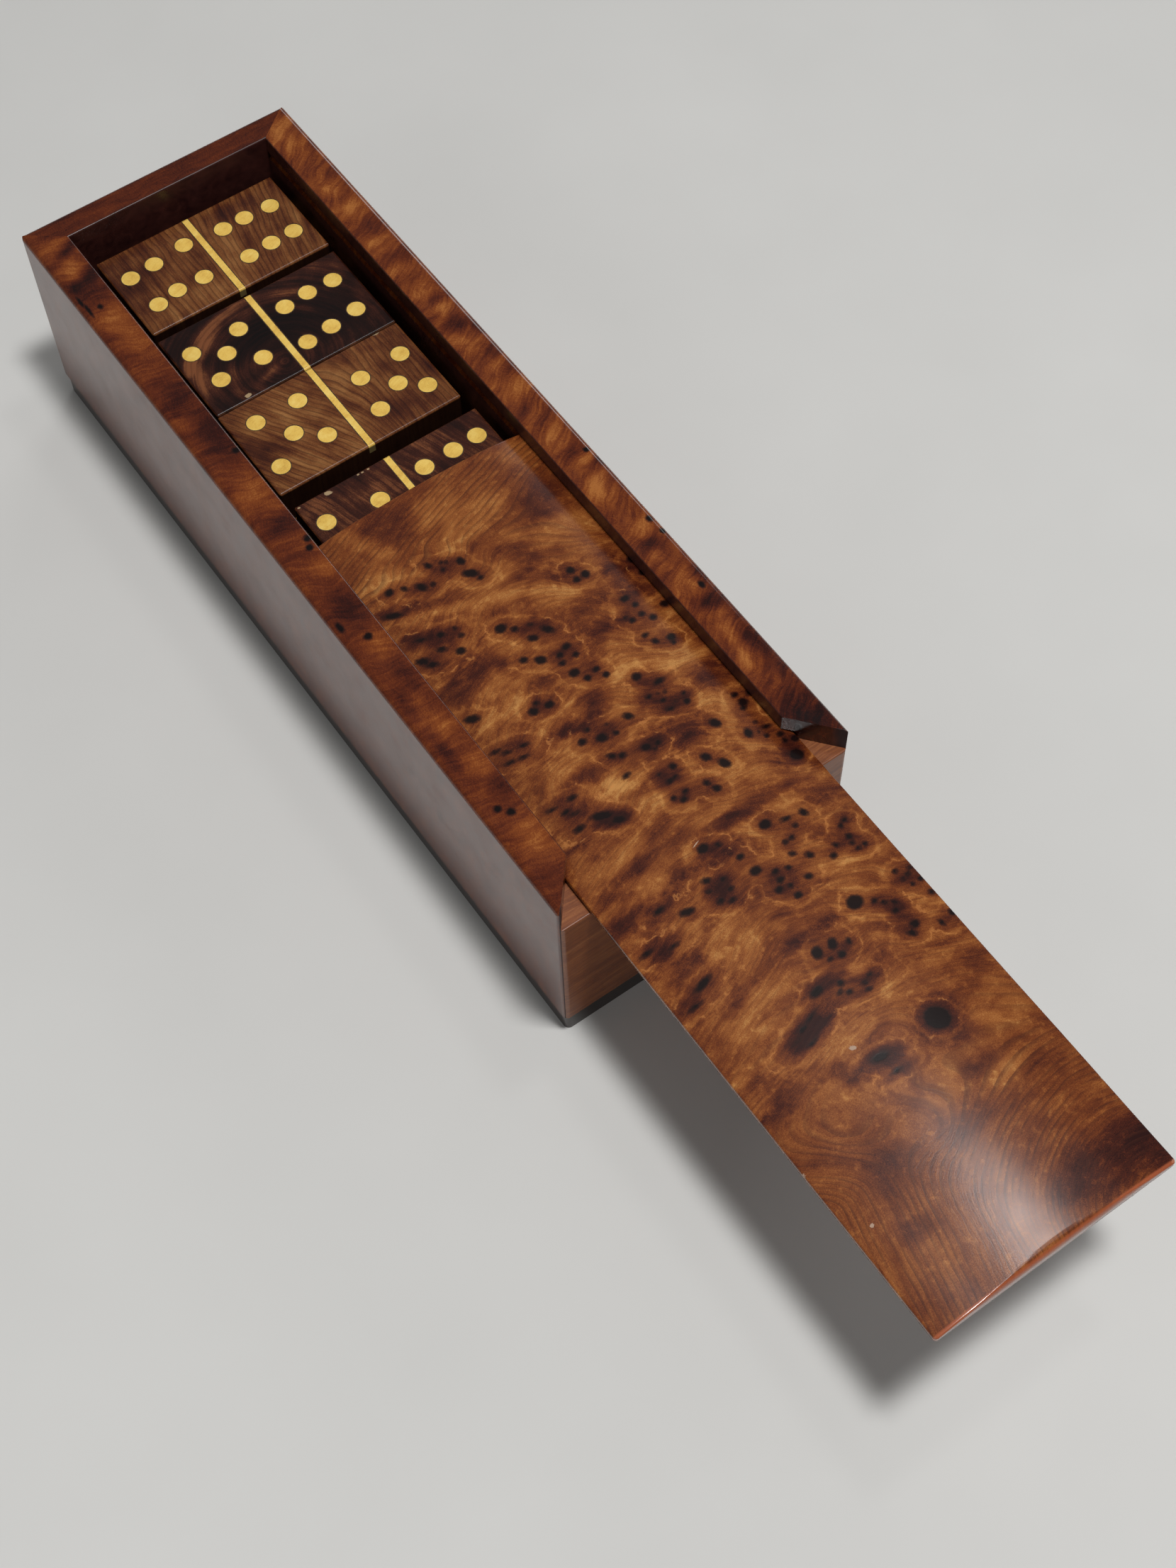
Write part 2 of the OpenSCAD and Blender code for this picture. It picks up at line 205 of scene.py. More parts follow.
# Dark eyes of the burl: x, y, half length, half width, turn in degrees
LID_EYES = [
    (-18.5, -22.2, 1.0, 0.9, 0), (-15.7, -23.4, 0.9, 0.6, -50), (-12.8, -25.1, 1.5, 0.9, -60),
    (-10.7, -25.9, 0.7, 0.6, 0), (-9.1, -21.7, 1.0, 0.7, -60), (-6.6, -22.6, 0.6, 0.5, 0),
    (-5.7, -23.1, 0.5, 0.5, 0), (-7.2, -24.2, 0.7, 0.6, 0), (-3.3, -24.6, 1.1, 0.9, -70),
    (-3.4, -28.2, 1.8, 1.0, -35), (-2.3, -30.2, 0.8, 0.6, 0), (-20.8, -27.0, 2.3, 0.8, -30),
    (-19.5, -35.0, 1.4, 0.6, -30), (-15.9, -36.5, 1.0, 0.8, -20), (-12.9, -36.9, 0.6, 0.5, 0),
    (-12.8, -39.0, 0.8, 0.6, -20), (-17.6, -39.3, 1.2, 0.7, -30), (-21.8, -39.1, 1.6, 0.8, -35),
    (-20.8, -40.9, 1.6, 0.7, -35), (-14.8, -41.9, 1.1, 0.9, -30), (-5.9, -42.4, 1.3, 1.1, 0),
    (-3.8, -44.1, 0.9, 0.7, -40), (-0.8, -45.0, 0.8, 0.5, -30), (1.3, -47.9, 1.6, 0.9, -50),
    (-2.1, -47.9, 1.3, 0.8, -30), (-6.4, -51.0, 1.0, 0.8, -30), (-3.8, -52.9, 1.3, 1.0, -40),
    (-0.2, -54.1, 0.9, 0.8, 0), (1.9, -53.2, 1.1, 0.8, 0), (2.3, -55.8, 0.8, 0.7, 0),
    (-0.9, -55.9, 0.9, 0.7, 0), (-21.4, -55.5, 1.7, 0.9, -30), (13.0, -38.9, 1.1, 0.9, -60),
    (12.7, -41.4, 0.9, 0.8, 0), (14.8, -41.2, 1.1, 1.0, 0), (17.8, -50.3, 1.3, 0.8, 0),
    (18.6, -52.6, 0.8, 0.7, 0), (15.9, -55.4, 0.8, 0.7, 0), (15.2, -54.2, 0.6, 0.5, 0),
    (18.4, -55.1, 0.8, 0.7, 0), (19.8, -56.9, 0.9, 0.8, -30), (23.8, -55.2, 1.1, 0.9, 0),
    (24.9, -42.7, 1.1, 1.0, 0), (24.8, -46.5, 0.9, 0.9, 0),
    (-11.4, -61.5, 1.2, 0.9, -20), (-10.0, -60.3, 0.8, 0.6, -40), (-8.2, -62.0, 1.1, 0.9, 0),
    (-0.3, -59.0, 1.2, 1.0, 0), (1.1, -61.5, 0.8, 0.8, 0), (3.5, -60.8, 0.9, 0.7, 0),
    (4.4, -62.9, 0.8, 0.8, 0), (15.9, -59.7, 0.8, 0.6, 0), (16.7, -61.8, 0.9, 0.7, -60),
    (19.9, -62.6, 1.1, 0.9, 0), (19.5, -63.9, 0.6, 0.6, 0), (-21.9, -64.0, 1.3, 0.5, -15),
    (-20.3, -65.5, 1.2, 0.5, -15), (-17.0, -66.3, 1.2, 0.5, -20), (-21.0, -67.6, 1.4, 0.5, -15),
    (-18.5, -68.3, 1.2, 0.5, -20), (8.8, -66.6, 1.1, 1.0, 0), (11.7, -69.8, 1.4, 0.7, 0),
    (8.0, -71.6, 0.8, 0.6, 0), (9.8, -72.0, 0.4, 0.4, 0), (11.2, -72.4, 0.5, 0.4, 0),
    (9.8, -73.8, 0.8, 0.6, 0), (9.8, -76.1, 1.1, 0.6, -20), (11.6, -75.3, 0.5, 0.4, 0),
    (13.4, -76.5, 0.8, 0.8, 0), (14.0, -74.6, 0.6, 0.5, 0), (-7.9, -72.4, 1.0, 0.8, 0),
    (-5.7, -70.8, 0.8, 0.6, -30), (-4.4, -73.9, 1.3, 1.0, -20), (-2.0, -72.0, 0.5, 0.4, 0),
    (-1.7, -74.5, 0.8, 0.6, -40), (2.3, -72.9, 1.2, 0.8, -40), (-5.2, -78.2, 1.2, 0.7, -45),
    (-3.6, -79.2, 1.0, 0.7, -20), (-20.6, -80.5, 1.3, 0.5, -10), (-16.2, -80.9, 1.2, 0.6, -10),
    (-18.8, -82.6, 1.1, 0.6, 0), (-17.7, -83.9, 1.3, 0.5, -5), (1.1, -80.4, 1.3, 0.9, -30),
    (2.2, -81.6, 0.6, 0.5, 0), (3.4, -80.8, 0.9, 0.7, 0), (-5.5, -83.2, 1.0, 0.6, 0),
    (14.8, -83.4, 1.3, 1.0, -60), (21.9, -80.1, 0.9, 0.7, 0), (22.3, -82.3, 1.1, 1.0, 0),
    (21.5, -83.4, 0.8, 0.7, 0), (24.8, -81.0, 1.0, 0.8, 0), (-18.8, -86.9, 1.4, 0.7, 0),
    (-14.0, -87.3, 2.4, 1.0, -25), (-12.0, -89.8, 1.6, 0.9, -25), (2.6, -86.6, 0.9, 0.8, -40),
    (0.3, -88.8, 1.0, 0.7, 0), (1.7, -88.7, 0.7, 0.6, 0), (-0.5, -86.5, 0.6, 0.5, 0),
    (8.8, -88.5, 1.2, 0.9, -50), (10.9, -91.5, 1.4, 1.0, -60), (18.7, -88.6, 1.2, 0.9, 80),
    (21.4, -87.3, 0.6, 0.5, 0), (22.5, -89.1, 1.2, 0.6, -10), (20.5, -89.4, 0.4, 0.4, 0),
    (21.3, -90.9, 0.6, 0.6, 0), (23.8, -91.9, 0.9, 0.7, 0), (23.7, -93.5, 0.8, 0.7, 0),
    (25.6, -94.0, 1.0, 0.9, 0), (-1.3, -92.2, 0.7, 0.6, 0), (1.3, -92.2, 0.8, 0.6, 0),
    (0.0, -93.5, 0.9, 0.7, 0), (5.6, -93.1, 0.9, 0.7, -50), (6.4, -95.1, 1.0, 0.8, -40),
    (23.5, -97.2, 1.6, 1.4, 0), (-3.3, -103.8, 1.3, 1.0, 0), (-0.6, -104.8, 0.8, 0.6, 0),
    (9.0, -106.3, 1.3, 1.1, 0), (12.8, -107.5, 1.3, 0.6, -10), (16.4, -108.2, 1.1, 0.8, -60),
    (13.4, -109.6, 0.7, 0.6, 0), (-6.7, -109.4, 1.1, 0.7, -20), (1.2, -109.1, 0.9, 0.7, 0),
    (-17.0, -109.1, 1.4, 0.7, 0), (-13.2, -112.3, 1.7, 0.8, -15), (-7.6, -111.4, 0.8, 0.5, -20),
    (-4.0, -110.9, 0.8, 0.6, 0), (-4.2, -113.3, 0.9, 0.6, 0), (-7.1, -114.2, 0.9, 0.7, 0),
    (-5.2, -115.3, 1.0, 0.6, 0), (-23.5, -114.3, 1.6, 0.6, 0), (-19.0, -116.2, 1.3, 0.5, 0),
    (1.7, -113.0, 1.3, 1.0, 0), (4.5, -115.2, 0.9, 0.7, 0), (4.2, -117.0, 1.0, 0.8, 0),
    (2.8, -118.5, 1.0, 0.8, 0), (4.9, -119.1, 0.7, 0.6, 0), (4.9, -121.4, 0.9, 0.8, 0),
    (6.9, -115.9, 0.8, 0.6, -30), (8.8, -119.4, 0.9, 0.7, -30), (9.3, -114.0, 0.8, 0.6, -30),
    (9.7, -111.4, 0.7, 0.6, 0), (11.2, -111.3, 0.8, 0.6, 0), (11.7, -116.0, 1.0, 0.7, -40),
    (17.0, -117.0, 0.8, 0.6, -50), (15.2, -118.6, 0.8, 0.7, 0), (20.4, -114.2, 0.7, 0.6, 0),
    (21.8, -113.5, 0.8, 0.6, 0), (20.2, -116.8, 0.8, 0.8, 0), (19.8, -118.3, 0.7, 0.5, 0),
    (20.1, -119.7, 0.7, 0.5, 0), (21.7, -119.6, 0.7, 0.6, 0), (-19.2, -125.1, 2.4, 0.8, 12),
    (-22.8, -127.7, 1.8, 0.5, 0), (12.3, -128.3, 1.7, 1.5, 0), (15.4, -130.0, 0.8, 0.6, 0),
    (16.7, -131.3, 0.9, 0.6, -40), (18.3, -132.3, 0.9, 0.6, -50), (17.3, -133.7, 0.9, 0.7, 0),
    (22.6, -127.2, 0.7, 0.6, 0), (22.9, -129.3, 0.7, 0.5, 0), (24.3, -128.8, 0.8, 0.6, 0),
    (25.5, -127.9, 0.6, 0.5, 0), (23.6, -131.0, 0.5, 0.5, 0), (25.8, -130.8, 0.8, 0.6, 0),
    (25.6, -134.0, 0.7, 0.6, 0), (0.5, -132.4, 1.4, 1.1, 60), (3.8, -132.6, 1.3, 1.0, 60),
    (1.7, -134.7, 0.7, 0.5, 0), (3.9, -135.2, 0.9, 0.8, 0), (6.5, -133.8, 0.8, 0.6, 80),
    (-4.2, -138.3, 1.7, 0.9, 10), (18.5, -137.7, 1.1, 0.9, 0), (16.8, -138.9, 1.1, 0.7, -40),
    (22.9, -140.1, 0.9, 0.6, -70), (26.0, -139.3, 0.8, 0.8, 0), (0.2, -139.4, 0.9, 0.7, 0),
    (0.4, -141.7, 0.8, 0.6, 0), (-1.0, -140.8, 0.8, 0.5, 0), (3.7, -141.8, 0.9, 0.6, 0),
    (3.5, -143.2, 0.8, 0.5, 0), (5.3, -141.1, 0.7, 0.5, 0), (-10.5, -142.5, 1.5, 0.6, 15),
    (-12.8, -143.8, 1.5, 0.4, 5), (-10.8, -145.4, 1.6, 0.5, 10), (-8.0, -141.5, 1.8, 0.5, 20),
    (9.8, -154.4, 2.6, 2.3, -50), (-3.0, -154.4, 2.0, 0.9, -5), (-2.2, -158.0, 1.3, 0.5, 0)]

# Lighter and darker parts of the figure: x, y, half length, half width, turn in degrees, weight
LID_TONES = [
    (-16, -10, 10, 2.5, -60, 0.45), (-10, -9, 7, 7, 0, -0.55), (0, -12, 7, 6, 0, 0.45), (4, -18, 12, 4, 20, 0.6),
    (20, -20, 8, 7, 0, -0.65), (18, -30, 8, 5, 0, 0.5), (21, -8, 6, 4, 0, 0.3), (-20, -19, 8, 3, 0, 0.55),
    (-17, -28, 9, 2, -25, -0.8), (-14, -31, 9, 2, -25, 0.4), (-2, -32, 6, 4, 0, 0.35), (-9, -31, 3, 2, 0, -0.5),
    (5, -33.5, 7, 2.2, 15, -0.55), (-18, -35.5, 8, 3, -20, -0.8), (-4, -36, 8, 2.5, -20, 0.55),
    (11, -39, 3, 5, 0, -0.35), (6, -42, 5, 5, 0, 0.5), (22, -45, 5, 9, 0, -0.8), (12, -47, 5, 3, 0, -0.6),
    (-15, -47, 9, 4, 0, -0.6), (-21, -49, 4, 3, 0, -0.5), (-7, -47, 4, 3, 0, 0.5), (-12, -54, 6, 3, -15, 0.6),
    (8, -53.5, 9, 2.5, 0, -0.6), (-15, -58, 6, 3, 0, 0.6), (0, -66, 5, 4, 0, -0.6), (-6, -69, 10, 1.8, -8, -0.7),
    (22, -74, 6, 4, 0, -0.7), (10, -73, 6, 6, 0, -0.3), (5, -79, 12, 2.5, 0, -0.5), (11, -82, 7, 3.5, 0, -0.7),
    (2, -68, 5, 3, 0, 0.4), (8, -63, 5, 4, 0, 0.5), (18, -67, 6, 5, 0, 0.4), (-12, -73, 8, 5, 0, 0.35),
    (-7, -84, 6, 3, 0, 0.6), (17, -80, 3, 8, 0, 0.4), (-12, -79, 9, 2.5, 0, -0.5), (-18, -89, 7, 3, 0, -0.5),
    (-11, -90, 6, 3, -20, -0.6), (-17, -96, 7, 3, 0, 0.4), (-6, -90, 5, 4, 0, 0.5), (13, -93, 6, 6, 0, 0.4),
    (-14, -99.5, 10, 2.2, 0, -0.5), (23, -97, 4, 4, 0, -0.6), (8, -101.5, 13, 2, 0, -0.7),
    (-3, -106, 10, 2.5, 0, -0.9), (2, -99, 6, 2, 0, 0.55), (-14, -103.5, 7, 3, 30, 0.5), (5, -105, 4, 2.5, 0, 0.5),
    (-20, -108, 9, 2.5, 0, -0.7), (-21, -115, 6, 3, 0, -0.65), (-20, -121, 5, 5, 0, -0.4),
    (-21, -126.5, 6, 3, 0, -0.5), (-8, -123, 9, 6, 0, 0.5), (3, -129, 9, 2, 0, -0.7), (3, -122, 6, 5, 0, -0.5),
    (-5, -113, 5, 4, 0, -0.4), (17, -122, 8, 5, 0, 0.3), (-11, -134, 9, 2.5, 10, 0.55), (17, -135, 5, 6, 0, -0.6),
    (-3, -137.5, 7, 2, 0, -0.8), (-10, -143, 8, 3.5, 15, -0.8), (-17, -138, 6, 5, 0, 0.5),
    (-5, -148.5, 10, 2.5, 5, 0.5), (6, -147, 7, 5, 0, 0.35), (16, -147, 7, 5, 0, 0.2), (-22, -151, 6, 4, 0, -0.35),
    (10, -155.5, 5.5, 6, 0, -1.0), (-4, -155, 8, 2.6, 0, -0.9), (-2, -158.5, 4, 1.5, 0, -0.5),
    (-12, -157, 7, 5, 0, 0.5), (3, -165, 5, 6, 0, 0.5), (9, -165.5, 5, 2.5, 0, -0.6), (13, -169, 6, 2.5, 0, 0.5),
    (20, -160, 6, 5, 0, 0.3), (-14, -171, 7, 5, 0, -0.4), (2, -173, 7, 3, 10, -0.3), (20, -171, 7, 2.5, 0, -0.4),
    (18, -191, 16, 7, 0, -1.0), (25, -194, 5, 8, 0, -0.8), (-16, -182, 6, 3, 0, -0.35), (-20, -187, 8, 7, 0, 0.25)]


def soft(value, low, high):
    """0 below low, 1 above high, smooth between."""
    t = np.clip((value - low) / (high - low), 0, 1)
    return t * t * (3 - 2 * t)


def ellipse(x, y, spot):
    """Distance from a spot's middle, with 1 at its outline."""
    cx, cy, long, wide, turn = spot[:5]
    c, s = math.cos(math.radians(turn)), math.sin(math.radians(turn))
    u, v = (x - cx) * c + (y - cy) * s, (y - cy) * c - (x - cx) * s
    return np.hypot(u / long, v / wide)


def lid_figure(x, y):
    """Fields that the burl's colours are made from, for points of the board.

    eye: distance in mm outside the nearest dark eye. burl: sum over the eyes of exp(-(distance / 1.5)^2), high
    where they crowd. tone: sum of the soft lighter and darker spots. rings: height of the growth rings above the
    cut, whose contour lines are the grain. It climbs along the board, bends round to climb across it at the near
    end, and has a hill over each eye. plain: 1 where there is no burl.
    """
    eye = np.full(x.shape, 3.0)
    burl = np.zeros(x.shape)
    hills = np.zeros(x.shape)
    for spot in LID_EYES:
        reach = ellipse(x, y, spot)
        away = (reach - 1) * spot[3]
        eye = np.minimum(eye, away)
        burl += np.exp(-(np.maximum(away, 0) / 1.5) ** 2)
        hills += 0.7 * np.exp(-(np.maximum(away, 0) / 2.8) ** 2)
    tone = sum(spot[5] * np.clip(1 - ellipse(x, y, spot) ** 2, 0, 1) for spot in LID_TONES)
    hills = 3.6 * (1 - np.exp(-hills))
    far = soft(y, -34, -14)
    along = y + 0.38 * np.sqrt(x * x + 16) * (1 - far) - 0.35 * x * far
    leaning = 33 - (x + 0.0032 * np.minimum(y + 152, 0) ** 2)
    arched = np.hypot(x - 22, (y + 205) * 1.05)
    across = leaning + (arched - leaning) * soft(x + 0.35 * (y + 185), -12, 2)
    near = soft(-y, 150, 172)
    rings = along * (1 - near) + (across - 190) * near + hills
    plain = np.clip(soft(-y, 152, 172) + soft(y, -24, -14) + 0.5 * soft(y, -36, -24), 0, 1)
    return {"eye": eye, "burl": np.minimum(burl, 3), "tone": np.tanh(tone), "rings": rings, "plain": plain}


def spaced(low, high, ends, cell):
    """Places from low to high: close together at both ends, then about one cell apart."""
    ends = np.array(ends)
    inside = np.linspace(low + ends[-1], high - ends[-1], int(round((high - low - 2 * ends[-1]) / cell)) + 1)
    return np.concatenate([low + ends[:-1], inside, high - ends[:-1][::-1]])


def lid_top(x, half):
    """Height of the crown over the underside: a wide arc, and a tighter one tangent to it over each shoulder."""
    crown_x = half - LID_SHOULDER
    sine = crown_x / LID_CROWN_R
    cosine = math.sqrt(1 - sine * sine)
    crown_z = LID_MIDDLE_T - LID_CROWN_R * (1 - cosine)
    fall = crown_z - LID_EDGE_T
    r = (LID_SHOULDER ** 2 + fall ** 2) / (2 * (fall * cosine - LID_SHOULDER * sine))
    a = np.minimum(np.abs(x), half)
    wide = LID_MIDDLE_T - LID_CROWN_R + np.sqrt(LID_CROWN_R ** 2 - np.minimum(a, crown_x) ** 2)
    tight = crown_z - r * cosine + np.sqrt(np.maximum(r * r - (a - crown_x + r * sine) ** 2, 0))
    return np.where(a <= crown_x, wide, tight)


LID_LOW, LID_HIGH = (np.array(corner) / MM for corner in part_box("lid"))
LID_MIDDLE_T = LID_HIGH[2] - LID_LOW[2]


def make_lid():
    """The board as one closed surface over a grid of its plan.

    Its height is the lower of the crown and the rounded nose, less the eased arris r - sqrt(r^2 - (r - d)^2) within
    r of the rim. The four corners of the grid are drawn in to quarter circles. A wall of three rows closes it to the
    flat underside, which is one face.
    """
    half, front, back = LID_HIGH[0], LID_LOW[1], LID_HIGH[1]
    xs, ys = spaced(-half, half, LID_EDGE_CELLS, LID_CELL), spaced(front, back, LID_EDGE_CELLS, LID_CELL)
    x, y = np.meshgrid(xs, ys, indexing="ij")
    from_rim = np.minimum(half - np.abs(x), np.minimum(y - front, back - y))
    core = (np.clip(x, -half + LID_CORNER_R, half - LID_CORNER_R),
            np.clip(y, front + LID_CORNER_R, back - LID_CORNER_R))
    dx, dy = x - core[0], y - core[1]
    drawn = np.where((dx != 0) & (dy != 0), np.maximum(abs(dx), abs(dy)) / np.maximum(np.hypot(dx, dy), 1e-9), 1)
    x, y = core[0] + dx * drawn, core[1] + dy * drawn
    nose = np.clip(LID_NOSE_R - (y - front), 0, LID_NOSE_R)
    z = np.minimum(lid_top(x, half), LID_MIDDLE_T - LID_NOSE_R + np.sqrt(LID_NOSE_R ** 2 - nose ** 2))
    arris = LID_ARRIS * (1 + 0.25 * np.sin(y / 7.3) * np.cos(x / 4.1 + y / 17))
    into = np.clip(arris - from_rim, 0, arris)
    z = np.maximum(z - (arris - np.sqrt(np.maximum(arris ** 2 - into ** 2, 0))), LID_LEAST_T)
    nx, ny = x.shape
    grid = np.arange(nx * ny).reshape(nx, ny)
    top = np.stack([x, y, z], -1).reshape(-1, 3)
    rim = np.concatenate([grid[:-1, 0], grid[-1, :-1], grid[:0:-1, -1], grid[0, :0:-1]])
    edge, n = top[rim], len(rim)
    inward = np.stack([core[0], core[1]], -1).reshape(-1, 2)[rim] - edge[:, :2]
    lower, foot = edge.copy(), edge.copy()
    lower[:, 2], foot[:, 2] = LID_FOOT, 0.0
    foot[:, :2] += inward * (LID_FOOT / LID_CORNER_R)
    verts = np.concatenate([top, lower, foot])
    quads = np.stack([grid[:-1, :-1], grid[1:, :-1], grid[1:, 1:], grid[:-1, 1:]], -1).reshape(-1, 4)
    here, there = np.arange(n), np.roll(np.arange(n), -1)
    row1, row2 = len(top) + here, len(top) + n + here
    wall1 = np.stack([rim[there], rim, row1, row1[there]], -1)
    wall2 = np.stack([row1[there], row1, row2, row2[there]], -1)
    faces = np.concatenate([quads, wall1, wall2]).tolist() + [row2[::-1].tolist()]
    verts[:, 2] += LID_LOW[2]
    mesh = bpy.data.meshes.new("lid_board")
    mesh.from_pydata((verts * MM).tolist(), [], faces)
    for name, values in lid_figure(verts[:, 0], verts[:, 1]).items():
        mesh.attributes.new(name, "FLOAT", "POINT").data.foreach_set("value", values.astype(np.float32))
    under = np.zeros(len(faces), bool)
    under[-1] = True
    mesh.polygons.foreach_set("use_smooth", ~under)
    mesh.polygons.foreach_set("material_index", under.astype(np.int32))
    board = bpy.data.objects.new("lid_board", mesh)
    bpy.context.collection.objects.link(board)
    return board


# ---- Woods ----

# Places in the part that the finishes refer to, in mm
WALL_TOP = 50
CROWN_TOP = 47
TILE_TOP = 43.2
SIDE_INNER_X = 24.9
REAR_INNER_Y = 94.9
MITRE_AT = 68.0
# Relief of the polish, in mm, and the size of its slow waves
POLISH_RELIEF = 0.03
POLISH_WAVE = (14, 20, 14)
FINE = (0.22, 0.22, 0.22)

HONEY = [(0.0, (0.022, 0.004, 0.003)), (0.2, (0.065, 0.012, 0.005)), (0.45, (0.165, 0.040, 0.009)),
         (0.7, (0.300, 0.098, 0.022)), (1.0, (0.500, 0.230, 0.065))]
RED = [(0.0, (0.010, 0.003, 0.003)), (0.25, (0.040, 0.007, 0.004)), (0.5, (0.105, 0.020, 0.006)),
       (0.75, (0.205, 0.050, 0.010)), (1.0, (0.360, 0.125, 0.028))]
KNOT = (0.005, 0.002, 0.002)
KNOT_RIM = (0.026, 0.006, 0.004)
FLAME = (0.560, 0.220, 0.060)
LATE_WOOD = (0.050, 0.012, 0.006)
LID_BRUISE = (0.40, 0.27, 0.19)
# Painted highlight of the lid's rounded near arris
NEAR_ARRIS_HIGHLIGHT = (0.42, 0.105, 0.040)
# Paler outer arris of the side walls: bare wear, with a painted highlight where the rounding catches the light
ARRIS_WEAR_AND_HIGHLIGHT = (0.62, 0.27, 0.10)
# Inner faces of the walls: their duller side grain, with painted shade of the box's inside
DULL_AND_SHADED_STOPS = [(0.3, (0.020, 0.006, 0.006)), (0.7, (0.052, 0.016, 0.013))]
# Near black of the mitre joint, also painted as shade over the exposed mitre face
MITRE_JOINT_AND_SHADE = (0.014, 0.004, 0.005)

# Marks of the side walls' tops, as for the lid
LEFT_EYES = [(-27.8, -78.2, 0.9, 0.9, 0), (-29.5, -76.2, 0.8, 0.8, 0), (-28.2, -30.3, 0.9, 0.9, 0),
             (-26.2, -5.9, 0.8, 0.8, 0), (-25.4, -3.8, 0.8, 0.9, 0), (-25.5, 23.4, 0.9, 0.9, 0),
             (-28.9, 73.0, 0.6, 0.8, 0), (-31.4, 73.5, 0.4, 2.5, 0), (-31.7, 76.5, 0.4, 2.0, 0),
             (-31.5, -25.5, 0.7, 1.5, 0)]
LEFT_TONES = [(-26, -73, 4, 5, 0, -0.5), (-30.5, -60, 2, 7, 0, -0.5), (-27, -44, 3, 9, 0, -0.5),
              (-30.5, -47, 2, 6, 0, -0.5), (-27, -22, 4, 8, 0, -0.6), (-30, -22, 4, 5, 0, -0.5),
              (-28, 2, 6, 4, 0, -0.6), (-27, 27, 6, 8, 0, -0.6), (-26, 33, 5, 6, 0, -0.5),
              (-28, 43, 6, 8, 0, -0.6), (-28, 78, 5, 6, 0, -0.5), (-26, 82.5, 7, 3, 30, -0.7),
              (-31, 80, 2.5, 6, 0, -0.5), (-26, 97, 5, 5, 0, -0.4), (-27, 91, 6, 2, 30, -0.7),
              (-27, -85, 5, 8, 0, 0.5), (-27, -66, 4, 5, 0, 0.5), (-28, -55, 4, 7, 0, 0.4), (-28, -47.5, 4, 3, 0, 0.4),
              (-27.5, -33, 4, 5, 0, 0.5), (-26, -12, 4, 6, 0, 0.4), (-28, 12, 5, 9, 0, 0.4), (-27, 63, 5, 9, 0, 0.5),
              (-28, 70, 5, 5, 0, 0.4), (-29, 86, 4, 6, 0, 0.5), (-28, 94, 5, 3, 20, 0.6)]
RIGHT_EYES = [(32.0, -43.2, 0.6, 0.8, 0), (31.6, -39.3, 0.7, 0.8, 0), (30.5, -58.0, 0.6, 1.0, 0),
              (31.5, -18.0, 0.6, 0.7, 0)]
RIGHT_TONES = [(31, -62, 4, 5, 0, -0.6), (28.5, -62, 3, 3, 0, -0.4), (31.5, -56, 2, 4, 0, -0.4),
               (30, -73, 3, 4, 0, -0.5), (31.5, -75, 2.5, 12, 0, -0.6), (28, -44.5, 4, 3, 0, -0.6),
               (29, -17, 4, 4, 0, -0.5), (32.4, -22.5, 1.5, 3, 0, -0.5), (31, 15.5, 2.5, 2.5, 0, -0.5),
               (32, 22, 1.5, 3, 0, -0.5), (29, 14, 4, 3, 0, -0.5), (29, 24, 4, 5, 0, -0.6), (28.5, 33, 5, 3, 0, -0.6),
               (29, 48.5, 5, 4, 0, -0.5), (29, 58, 4, 5, 0, -0.5), (28, 69, 4, 3, 0, -0.5), (29, -94, 8, 14, 0, -0.9),
               (27, -77, 2, 4, 0, 0.5), (28, -71, 2, 5, 0, 0.5), (29.5, -65, 4, 2, 0, 0.5), (29, -56, 3, 6, 0, 0.5),
               (27.5, -46.5, 2, 3, 0, 0.5), (29, -40, 3, 4, 0, 0.5), (28, -28, 4, 7, 0, 0.6),
               (29.5, -19.5, 4, 2, 0, 0.6),
               (28, -12, 4, 5, 0, 0.5), (29, 3, 5, 5, 0, 0.5), (29, 12.5, 4, 4, 0, 0.5), (28, 20, 4, 5, 0, 0.5),
               (28.5, 31, 4, 2.5, 0, 0.6), (28, 36, 4, 5, 0, 0.5), (28, 45, 5, 4, 0, 0.6), (28, 54, 5, 5, 0, 0.6),
               (28, 66, 5, 6, 0, 0.7), (27.5, 73, 4, 5, 0, 0.5), (28, 92, 5, 10, 0, 0.6)]


# Small pale bruises of the lid
LID_CHIPS = [(-26.3, -163.0, 0.35, 0.7, 0), (-5.8, -150.3, 0.7, 0.4, -30), (-3.8, -102.3, 0.9, 0.12, 20),
             (-22.7, -176.8, 0.4, 0.35, 0), (26.3, -179.0, 0.3, 0.8, 0), (25.9, -197.4, 0.6, 0.4, 0)]


